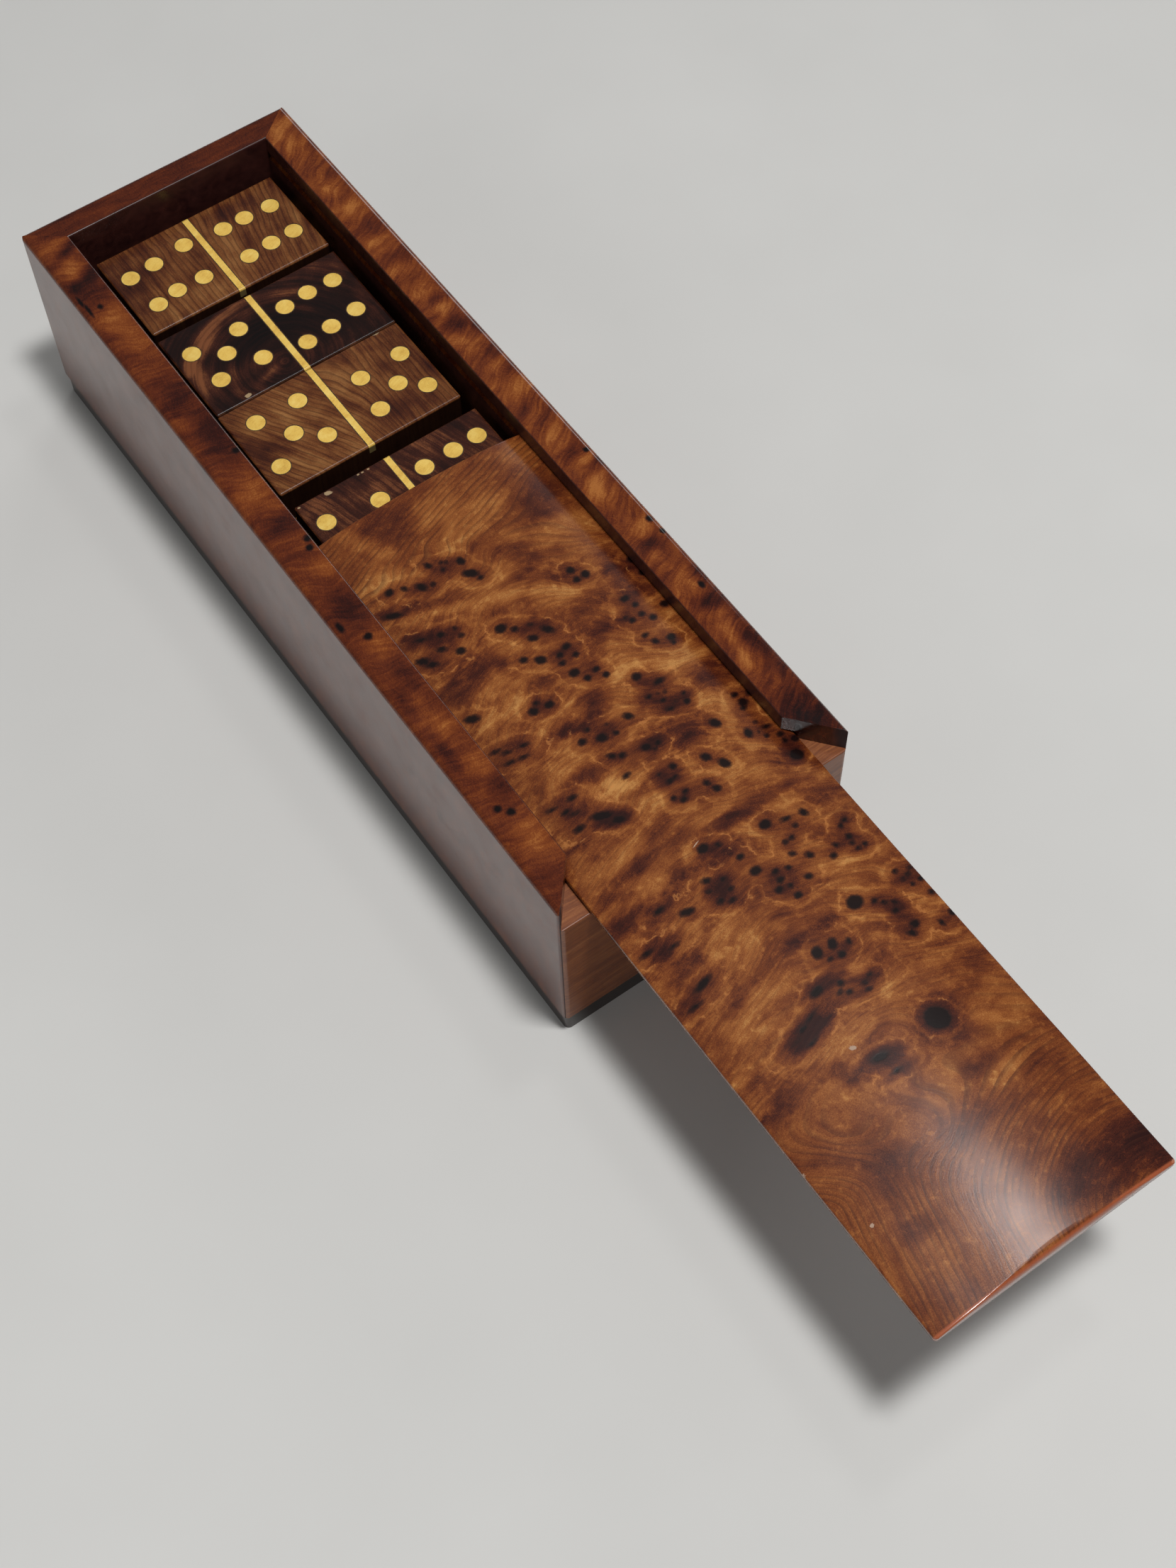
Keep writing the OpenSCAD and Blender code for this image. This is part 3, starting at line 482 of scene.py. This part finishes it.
def burl_lid_wood():
    """Burl of the lid. Its colour follows the fields of lid_figure, and its fibres run along their growth rings."""
    f = Finish("burl_lid", coat=0.2, coat_rough=0.3)
    eye, burl, tone, rings, plain = (f.attribute(n) for n in ("eye", "burl", "tone", "rings", "plain"))
    lines = f.along(rings, f.x + f.y * 0.35)
    fibre = f.grain(lines, (0.28, 3, 1), detail=3)
    streak = f.grain(lines, (1.2, 5, 1), detail=3, distort=0.4)
    wave = f.grain(lines, (3.4, 9, 1), detail=3, rough=0.45, distort=0.5)
    curl = f.grain(f.warp(f.at, 7.0, 2.0), (6, 4.2, 4.2), detail=3, rough=0.5) * (1 - plain * 0.55)
    speckle = f.grain(f.at, (0.2, 0.2, 0.2), detail=2, rough=0.7)
    crowd = burl + f.grain(f.at, (1.5, 1.5, 1.5), detail=3) * 1.3
    calm = 1 - plain * 0.4
    figure = tone * 0.46 + curl * 0.75 + wave * calm * 0.75 + streak * 0.3 + fibre * 0.3 + speckle * 0.65 + 0.46
    figure = figure - f.step(crowd, 0.9, 2.4) * 0.20 + f.step(crowd, 0.05, 0.3) * f.step(crowd, 0.9, 0.4) * 0.16
    colour = f.ramp(figure, HONEY)
    phase = f.math("FRACT", rings / 1.2 + f.grain(f.at, (15, 15, 15), detail=1) * 2.2)
    line = f.step(phase, 0.35, 0.93) * f.step(phase, 1.0, 0.95) * f.step(f.grain(lines, (3, 12, 1)), -0.2, 0.12)
    colour = f.mix(line * (plain * 0.35 + 0.26), colour, LATE_WOOD)
    flame = f.step(f.math("ABSOLUTE", crowd - 0.45), 0.12, 0.03) * f.step(f.grain(f.at, (2.5, 2.5, 2.5)), 0.0, 0.1)
    colour = f.mix(flame * 0.4, colour, FLAME)
    ragged = eye + f.grain(f.at, (0.7, 0.7, 0.7), detail=3, rough=0.6) * 0.6
    colour = f.mix(f.step(ragged, 0.30, -0.12) * 0.8, colour, KNOT_RIM)
    dark = f.step(ragged, 0.0, -0.4)
    colour = f.mix(dark * 0.93, colour, KNOT)
    chip = f.step(f.eyes(LID_CHIPS, CROWN_TOP, 4) + speckle * 0.6, 0.42, 0.55)
    colour = f.mix(chip, colour, LID_BRUISE)
    # Painted highlight: an orange line along the rounded near end, where the arris catches the light
    colour = f.mix(f.step(f.y, LID_LOW[1] + 0.9, LID_LOW[1] + 0.45) * 0.7, colour, NEAR_ARRIS_HIGHLIGHT)
    rough = 0.17 + f.grain(f.at, (6, 6, 6)) * 0.06 + speckle * 0.06
    height = f.grain(f.at, POLISH_WAVE, detail=1) * POLISH_RELIEF + fibre * 0.004 + speckle * 0.003 - dark * 0.003
    return f.put(colour, rough, height)


def burl_wall_wood(name, eyes=(), tones=(), lift=0.52, turn=0.0, contrast=1.0, mitre=0, worn=0.0):
    """Burl of a wall, dark on its inner face, partly from its duller side grain and partly as painted shade inside the
    box.

    mitre is 1 for the right wall and -1 for the left one, whose front mitres are dark too (a dark joint, with painted
    shade over the exposed mitre face), and 0 for the rear wall.
    worn is how pale the outer arris of a side wall is painted, along its far part: partly bare wear, partly a painted
    highlight on its rounding.
    """
    f = Finish(name)
    wander = f.warp(f.at, 9.0, 3.0)
    band = f.grain(wander, (9, 2.6, 5), turn, detail=2, rough=0.5)
    streak = f.grain(wander, (6, 0.6, 3), turn, detail=3, rough=0.6)
    fibre = f.grain(wander, (0.22, 3, 0.3), turn, detail=2)
    speckle = f.grain(f.at, FINE, detail=2, rough=0.7)
    figure = f.spots(tones, WALL_TOP, 12) * 0.6 if tones else 0.0
    figure = band * (0.95 * contrast) + streak * (0.75 * contrast) + fibre * 0.3 + speckle * 0.5 + lift + figure
    colour = f.ramp(figure, RED)
    if eyes:
        ragged = f.eyes(eyes, WALL_TOP, 4) + f.grain(f.at, (0.8, 0.8, 0.8), detail=3, rough=0.65) * 0.5
        colour = f.mix(f.step(ragged, 0.3, 0.6) * 0.9, colour, KNOT_RIM)
        colour = f.mix(f.step(ragged, 0.55, 0.75), colour, KNOT)
    dull_and_shaded = f.ramp(streak + 0.5, DULL_AND_SHADED_STOPS)
    from_middle = f.math("ABSOLUTE", f.x)
    if worn:
        # Painted paler along the far part of the outer arris: partly bare wear, partly a painted highlight
        arris_wear_and_highlight = f.step(from_middle, 32.5, 32.9) * f.step(f.z, WALL_TOP - 0.8, WALL_TOP - 0.2) * f.step(f.y, -25, 10)
        arris_wear_and_highlight = arris_wear_and_highlight * f.step(f.grain(f.at, (1, 12, 1), detail=3), -0.2, 0.1)
        colour = f.mix(arris_wear_and_highlight * worn, colour, ARRIS_WEAR_AND_HIGHLIGHT)
    if mitre:
        inside = f.step(from_middle, SIDE_INNER_X, SIDE_INNER_X - 0.25)
    else:
        inside = f.step(f.y, REAR_INNER_Y, REAR_INNER_Y - 0.3)
    # Painted shade: the inner face takes the darker ramp, partly for its duller side grain
    colour = f.mix(inside * 0.92, colour, dull_and_shaded)
    rough = 0.18 + speckle * 0.06 + f.grain(f.at, (7, 7, 7), detail=3) * 0.25 + inside * 0.12
    if mitre:
        # Near black along the mitre: the dark joint, and painted shade over the exposed mitre face
        cut = f.step(f.math("ABSOLUTE", f.x * mitre + f.y + MITRE_AT), 0.5, 0.2)
        colour = f.mix(cut * 0.85, colour, MITRE_JOINT_AND_SHADE)
        rough = rough + cut * 0.5
    height = f.grain(f.at, POLISH_WAVE, detail=1) * POLISH_RELIEF + fibre * 0.003
    return f.put(colour, rough, height)


def plain_wood(name, stops, size, lift=0.5, rough=0.2):
    """Straight-grained wood whose fibres have the given size in mm, in bands of four fibres."""
    f = Finish(name)
    wander = f.warp(f.at, 8.0, 0.8)
    band = f.grain(wander, tuple(4 * s for s in size), detail=3)
    fibre = f.grain(wander, size, detail=4, rough=0.65)
    speckle = f.grain(f.at, (0.3, 0.3, 0.3), detail=2)
    colour = f.ramp(band * 0.9 + fibre * 0.9 + speckle * 0.3 + lift, stops)
    return f.put(colour, rough + speckle * 0.06, fibre * 0.008)


def domino_wood(name, stops, rings=None, tones=(), lift=0.5, box=None, line=0.5, chips=()):
    """Ring-porous wood. rings gives the height of the growth rings at a point, made from the finish's x and y.

    With a box the tile is one that shows: its arrises are worn paler and its sides are painted dark as shade from the
    gaps between tiles. line is the strength of the dark lines between the rings. tones are soft spots of its top, and
    chips are small pale breaks in it.
    """
    f = Finish(name)
    field = rings(f) if rings else f.x + f.y * 0.3
    lines = f.along(field, f.y - f.x * 0.3, 1.2)
    band = f.grain(lines, (1.8, 16, 1), detail=2)
    fibre = f.grain(lines, (0.25, 9, 1), detail=2)
    speckle = f.grain(f.at, FINE, detail=2, rough=0.7)
    mottle = f.grain(f.at, (6, 6, 6), detail=2)
    figure = f.spots(tones, TILE_TOP, 9) if tones else 0.0
    figure = band * 0.9 + fibre * 0.4 + mottle * 0.7 + speckle * 0.5 + lift + figure
    colour = f.ramp(figure, stops)
    phase = f.math("FRACT", field / 1.25 + f.grain(f.at, (9, 9, 9), detail=2) * 1.6)
    ring = f.step(phase, 0.5, 0.92) * f.step(phase, 1.0, 0.95) * f.step(f.grain(lines, (3, 14, 1)), -0.35, 0.05)
    colour = f.mix(ring * line, colour, RING)
    if box:
        (x0, y0, _), (x1, y1, top) = box
        inset = f.math("MAXIMUM", f.math("ABSOLUTE", f.x - (x0 + x1) / 2) - (x1 - x0) / 2,
                       f.math("ABSOLUTE", f.y - (y0 + y1) / 2) - (y1 - y0) / 2)
        worn = f.step(inset + f.grain(f.at, (3, 3, 3), detail=3, rough=0.6) * 1.2, -0.35, 0.25)
        colour = f.mix(worn * 0.35, colour, WORN_TILE)
        # Painted shade: the tile's sides darken below its top, as in the gaps between tiles
        colour = f.mix(f.step(f.z, top - 0.25, top - 0.7) * 0.92, colour, TILE_SIDE_SHADE)
    if chips:
        broken = f.eyes(chips, TILE_TOP, 1.5) + f.grain(f.at, (0.5, 0.5, 0.5), detail=3) * 0.5
        colour = f.mix(f.step(broken, 0.42, 0.55), colour, TILE_CHIP)
    return f.put(colour, 0.2 + speckle * 0.06, fibre * 0.005)


def inlay_wood():
    """Pale wood, with painted shade where an inlay shows on the side of its tile."""
    f = Finish("pale_inlay_wood")
    cloud = f.grain(f.at, (2.6, 2.6, 2.6), detail=4, rough=0.6)
    fibre = f.grain(f.at, (2.2, 0.35, 0.35), 20, detail=3)
    speckle = f.grain(f.at, (0.25, 0.25, 0.25), detail=2, rough=0.7)
    colour = f.ramp(cloud * 1.1 + fibre * 0.5 + speckle * 0.6 + 0.52, INLAY)
    pore = f.step(f.grain(f.at, (0.5, 0.5, 0.5), detail=3, rough=0.6), 0.2, 0.27)
    colour = f.mix(pore * 0.6, colour, INLAY_PORE)
    # Painted shade: darker below the tile's top, where the inlay shows on the tile's side
    colour = f.mix(f.step(f.z, TILE_TOP - 0.25, TILE_TOP - 0.7) * 0.85, colour, INLAY_SIDE_SHADE)
    return f.put(colour, 0.3 + speckle * 0.08, speckle * 0.004)


def glue_finish():
    """Dark glue, stained paler in places by the inlay."""
    f = Finish("dark_glue")
    tint = f.grain(f.at, (0.6, 0.6, 0.6), detail=3)
    return f.put(f.ramp(tint + 0.5, GLUE), 0.45)


INLAY_PORE = (0.16, 0.08, 0.02)
# Painted shade where an inlay's end shows on the side of its tile
INLAY_SIDE_SHADE = (0.060, 0.050, 0.034)
RING = (0.020, 0.005, 0.004)
WORN_TILE = (0.24, 0.085, 0.030)
# Painted shade of a tile's sides, in the gaps between tiles
TILE_SIDE_SHADE = (0.010, 0.004, 0.003)
TILE_CHIP = (0.36, 0.25, 0.14)
GLUE = [(0.2, (0.012, 0.007, 0.004)), (0.8, (0.090, 0.045, 0.014))]
INLAY = [(0.0, (0.50, 0.25, 0.045)), (0.5, (0.76, 0.49, 0.10)), (1.0, (0.88, 0.66, 0.20))]
FRONT = [(0.0, (0.080, 0.020, 0.008)), (0.5, (0.210, 0.062, 0.018)), (1.0, (0.380, 0.150, 0.048))]
BOARD = [(0.0, (0.006, 0.004, 0.004)), (0.5, (0.016, 0.008, 0.006)), (1.0, (0.04, 0.02, 0.012))]
BROWN = [(0.0, (0.022, 0.005, 0.004)), (0.3, (0.075, 0.019, 0.007)), (0.55, (0.160, 0.054, 0.016)),
         (1.0, (0.340, 0.155, 0.050))]
DARK = [(0.0, (0.004, 0.002, 0.002)), (0.4, (0.013, 0.004, 0.003)), (0.7, (0.050, 0.013, 0.007)),
        (1.0, (0.190, 0.064, 0.024))]


def domino_box(node):
    """Lowest and highest corners of a node, in mm."""
    return [[v / MM for v in corner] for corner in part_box(node)]


def six_six_rings(f):
    """Rings straight along Y in the left half, leaning over to the right in the right half."""
    return f.x - (f.y - 78) * 0.22 * f.step(f.x, -3, 9)


def five_five_rings(f):
    """Rings that lean strongly in the left half and stand along Y in the right half."""
    return f.x + (f.y - 25) * 0.56 * f.step(f.x, 11, -3)


def five_six_rings(f):
    """Rings round a centre near the tile's near edge, a little flattened."""
    return f.math("SQRT", (f.x + 3) * (f.x + 3) + (f.y - 43) * (f.y - 43) * 1.1)


# ---- Glue lines of the top layer ----

# How far the glue reaches outside and inside an inlay's outline, and above and below the tile's face
GLUE_OUT, GLUE_IN, GLUE_RISE, GLUE_DEPTH = 0.15, 0.05, 0.012, 0.1
# An outline with fewer points than this is a tile's straight line, whose ends get next to no glue
ROUND_POINTS = 12
STRIP_ENDS = 0.1


def joined(corners, count):
    """Number of the group that each point is in, where the three corners of a triangle are in one group."""
    group = np.arange(count)
    for _ in range(40):
        lowest = group[corners].min(1)
        for corner in range(3):
            np.minimum.at(group, corners[:, corner], lowest)
        group = group[group]
    return group


def top_outlines(mesh, level):
    """Points of each flat face of the mesh at a level, in order of their angle about its middle."""
    places = np.empty(len(mesh.vertices) * 3)
    mesh.vertices.foreach_get("co", places)
    places = places.reshape(-1, 3) / MM
    corners = np.empty(len(mesh.loops), np.int32)
    mesh.loops.foreach_get("vertex_index", corners)
    triangles = places[corners.reshape(-1, 3)]
    flat = triangles[(np.abs(triangles[:, :, 2] - level) < 0.02).all(1)]
    points, numbers = np.unique(np.round(flat[:, :, :2], 3).reshape(-1, 2), axis=0, return_inverse=True)
    group = joined(numbers.reshape(-1, 3), len(points))
    for number in np.unique(group):
        ring = points[group == number]
        middle = (ring.max(0) + ring.min(0)) / 2
        if len(ring) > 3:
            yield ring[np.argsort(np.arctan2(*(ring - middle).T[::-1]))], middle, number


def glue_band(ring, middle, number, level):
    """A closed band along an outline. Point (j, k) is outline point k moved along its own normal by offset j.

    The four offsets go round the band's section: inside and outside the outline, above and below the level.
    """
    onward = np.roll(ring, -1, 0) - np.roll(ring, 1, 0)
    normal = np.stack([onward[:, 1], -onward[:, 0]], 1) / np.linalg.norm(onward, axis=1)[:, None]
    if len(ring) < ROUND_POINTS:
        normal = np.sign(ring - middle) * (1, STRIP_ENDS)
    n = len(ring)
    wide = GLUE_OUT * (1 + 0.35 * np.sin(3 * np.arange(n) + number))[:, None]
    section = ((-GLUE_IN, -GLUE_DEPTH), (-GLUE_IN, GLUE_RISE), (wide, GLUE_RISE), (wide, -GLUE_DEPTH))
    verts = np.concatenate([np.column_stack([ring + normal * out, np.full(n, level + z)]) for out, z in section])
    here = np.arange(4 * n).reshape(4, n)
    above = np.roll(here, -1, 0)
    faces = np.stack([here, above, np.roll(above, -1, 1), np.roll(here, -1, 1)], -1).reshape(-1, 4)
    return verts, faces


def make_glue_lines():
    """One piece of all the glue bands round the inlays of the top layer."""
    level = domino_box("domino_6_6")[1][2]
    verts, faces, first = [], [], 0
    for name in (n for n in nodes if n.startswith("inlays_")):
        for ring, middle, number in top_outlines(nodes[name].data, level):
            band_verts, band_faces = glue_band(ring, middle, number, level)
            verts.append(band_verts)
            faces.append(band_faces + first)
            first += len(band_verts)
    mesh = bpy.data.meshes.new("glue_lines")
    mesh.from_pydata((np.concatenate(verts) * MM).tolist(), [], np.concatenate(faces).tolist())
    mesh.materials.append(glue_finish())
    lines = bpy.data.objects.new("glue_lines", mesh)
    bpy.context.collection.objects.link(lines)
    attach(lines, "box")


# ---- Finishes of the nodes ----

# Soft spots of the tiles that show, as for the lid
SIX_SIX_TONES = [(-19, 80, 8, 9, 0, -0.35), (8, 85, 4, 7, -25, -0.3), (-5, 68, 9, 5, 0, 0.25), (4, 79, 5, 9, 0, 0.2),
                 (12, 87, 10, 4, 0, -0.15), (-14, 88, 12, 3, 0, -0.2)]
FIVE_SIX_TONES = [(-16, 56, 12, 2.5, 35, 0.75), (-20, 48, 2.5, 12, -5, 0.6), (-7, 61, 9, 2.2, 15, 0.6),
                  (4, 60, 7, 2, -15, 0.45), (9, 58, 4, 1.5, -20, 0.35), (-14, 45, 3, 8, -10, 0.25),
                  (-7, 42, 5, 1.5, 15, 0.4), (14, 62, 12, 4, 0, 0.2), (-3, 52, 12, 7, 0, -0.35),
                  (8, 50, 12, 6, 0, -0.35), (18, 44, 6, 8, 0, 0.15), (21, 58, 5, 8, 0, 0.15)]
FIVE_FIVE_TONES = [(-18, 25, 7, 6, 0, -0.45), (-12, 30, 8, 12, -55, 0.2), (-2, 20, 6, 12, 0, 0.15),
                   (10, 18, 10, 5, 0, -0.35), (18, 30, 6, 12, 0, -0.3), (4, 32, 5, 8, 0, 0.2),
                   (-12, 17, 8, 4, -50, 0.2)]
FOUR_SIX_TONES = [(-18, 7, 5, 3, 0, 0.3), (0, 4, 20, 5, 0, 0.1)]
FIVE_SIX_CHIPS = [(-14.0, 39.5, 0.7, 0.5, 0)]
FIVE_FIVE_CHIPS = [(16.5, 38.1, 0.8, 0.4, 0)]
FOUR_SIX_CHIPS = [(-14.0, 8.1, 0.8, 0.5, -15), (-20.8, 8.4, 0.3, 0.2, 0), (-6.6, 8.5, 0.3, 0.2, 0),
                  (-5.6, 8.5, 0.3, 0.2, 0), (-4.2, 8.5, 0.25, 0.2, 0)]

woods = {
    "left_wall": burl_wall_wood("burl_left", LEFT_EYES, LEFT_TONES, turn=-15, contrast=0.6, mitre=-1, worn=0.2),
    "right_wall": burl_wall_wood("burl_right", RIGHT_EYES, RIGHT_TONES, lift=0.58, turn=35, contrast=0.85, mitre=1,
                                 worn=0.75),
    "rear_wall": burl_wall_wood("burl_rear", lift=0.40, contrast=0.5),
    "front_wall": plain_wood("straight_front", FRONT, (9, 0.35, 0.35), rough=0.36),
    "base_board": plain_wood("dark_base", BOARD, (0.5, 6, 0.5)),
    "domino_6_6": domino_wood("walnut_six_six", BROWN, six_six_rings, SIX_SIX_TONES, box=domino_box("domino_6_6")),
    "domino_5_6": domino_wood("ebony_five_six", DARK, five_six_rings, FIVE_SIX_TONES, 0.42, domino_box("domino_5_6"),
                              0.3, FIVE_SIX_CHIPS),
    "domino_5_5": domino_wood("walnut_five_five", BROWN, five_five_rings, FIVE_FIVE_TONES,
                              box=domino_box("domino_5_5"), chips=FIVE_FIVE_CHIPS),
    "domino_4_6": domino_wood("ebony_four_six", DARK, None, FOUR_SIX_TONES, 0.66, domino_box("domino_4_6"),
                              chips=FOUR_SIX_CHIPS),
}
slot_woods = {"domino_brown": domino_wood("walnut_domino", BROWN), "domino_dark": domino_wood("ebony_domino", DARK),
              "pale_inlay": inlay_wood()}
slots = {row["node"]: row["material_slot"] for row in frame["record"]["subparts"]}
for name, node in nodes.items():
    wood = woods.get(name) or slot_woods.get(slots[name])
    if wood:
        node.data.materials.clear()
        node.data.materials.append(wood)

lid = make_lid()
lid.data.materials.append(burl_lid_wood())
lid.data.materials.append(plain_wood("lid_underside", HONEY, (0.6, 8, 0.6), lift=0.35))
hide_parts("lid")
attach(lid, "lid")
make_glue_lines()


# ---- Floor, light and camera ----

FLOOR_HALF = 3.0
FLOOR_TINTS = (0.60, 0.595, 0.575), (0.66, 0.655, 0.635)


def make_floor():
    """A plain pale floor under the box, level with its underside."""
    mesh = bpy.data.meshes.new("floor")
    corners = [(-1, -1), (1, -1), (1, 1), (-1, 1)]
    mesh.from_pydata([(FLOOR_HALF * x, FLOOR_HALF * y, 0) for x, y in corners], [], [(0, 1, 2, 3)])
    plane = bpy.data.objects.new("floor", mesh)
    bpy.context.collection.objects.link(plane)
    f = Finish("floor_paper")
    tint = f.grain(f.at, (60, 60, 60), detail=3)
    mesh.materials.append(f.put(f.mix(tint + 0.5, *FLOOR_TINTS), 0.8))


def aim(obj, place, target):
    """Puts an object at place, in metres, with its -Z towards target."""
    back = (place - target) / np.linalg.norm(place - target)
    side = np.cross((0, 0, 1), back)
    side /= np.linalg.norm(side)
    up = np.cross(back, side)
    matrix = np.eye(4)
    matrix[:3, 0], matrix[:3, 1], matrix[:3, 2], matrix[:3, 3] = side, up, back, place
    obj.matrix_world = matrix.T.tolist()


def make_lamp(name, target, direction, distance, size, level):
    """A soft lamp whose light on a level surface at the target is the given share of full white."""
    light = bpy.data.lights.new(name, "AREA")
    light.shape, light.size, light.size_y = "RECTANGLE", *size
    target, toward = np.array(target) * MM, np.array(direction) / np.linalg.norm(direction)
    light.energy = level * (math.pi * distance) ** 2 / toward[2]
    lamp = bpy.data.objects.new(name, light)
    bpy.context.collection.objects.link(lamp)
    aim(lamp, target + toward * distance, target)


make_floor()
make_lamp("overhead_lamp", (-26, -197, 44), (0.08, -0.08, 0.99), 1.2, (0.17, 0.17), 0.78)
make_lamp("side_lamp", (-3, -194, 47), (0.30, 0.157, 0.94), 1.3, (0.13, 0.13), 0.045)
make_lamp("left_fill", (0, -50, 25), (-0.75, -0.35, 0.5), 1.5, (0.9, 0.6), 0.06)
make_lamp("right_fill", (0, -50, 25), (0.65, 0.60, 0.45), 1.5, (0.5, 0.4), 0.05)
world = bpy.data.worlds.new("studio")
bpy.context.scene.world = world
world.use_nodes = True
sky = world.node_tree.nodes["Background"].inputs
sky["Color"].default_value = (1.0, 1.0, 1.0, 1)
sky["Strength"].default_value = 0.12

CAMERA_PLACE = np.array([-131.034, -258.842, 414.48]) * MM
CAMERA_AZIMUTH, CAMERA_FALL, CAMERA_ROLL = (math.radians(a) for a in (33.6481, 59.7054, -1.9386))
CAMERA_LENS, CAMERA_SENSOR = 52.842, 36.0


def make_camera():
    """Camera at the photograph's place: it looks along its azimuth, down by its fall, and is rolled about that line."""
    ahead = np.array([math.sin(CAMERA_AZIMUTH) * math.cos(CAMERA_FALL),
                      math.cos(CAMERA_AZIMUTH) * math.cos(CAMERA_FALL), -math.sin(CAMERA_FALL)])
    level = np.array([math.cos(CAMERA_AZIMUTH), -math.sin(CAMERA_AZIMUTH), 0])
    upright = np.cross(level, ahead)
    c, s = math.cos(CAMERA_ROLL), math.sin(CAMERA_ROLL)
    matrix = np.eye(4)
    matrix[:3, 0], matrix[:3, 1] = c * level + s * upright, c * upright - s * level
    matrix[:3, 2], matrix[:3, 3] = -ahead, CAMERA_PLACE
    data = bpy.data.cameras.new("camera")
    data.sensor_fit, data.sensor_height, data.lens, data.clip_start = "VERTICAL", CAMERA_SENSOR, CAMERA_LENS, 0.01
    camera = bpy.data.objects.new("camera", data)
    bpy.context.collection.objects.link(camera)
    camera.matrix_world = matrix.T.tolist()
    bpy.context.scene.camera = camera


make_camera()
bpy.context.scene.view_settings.view_transform = "Standard"
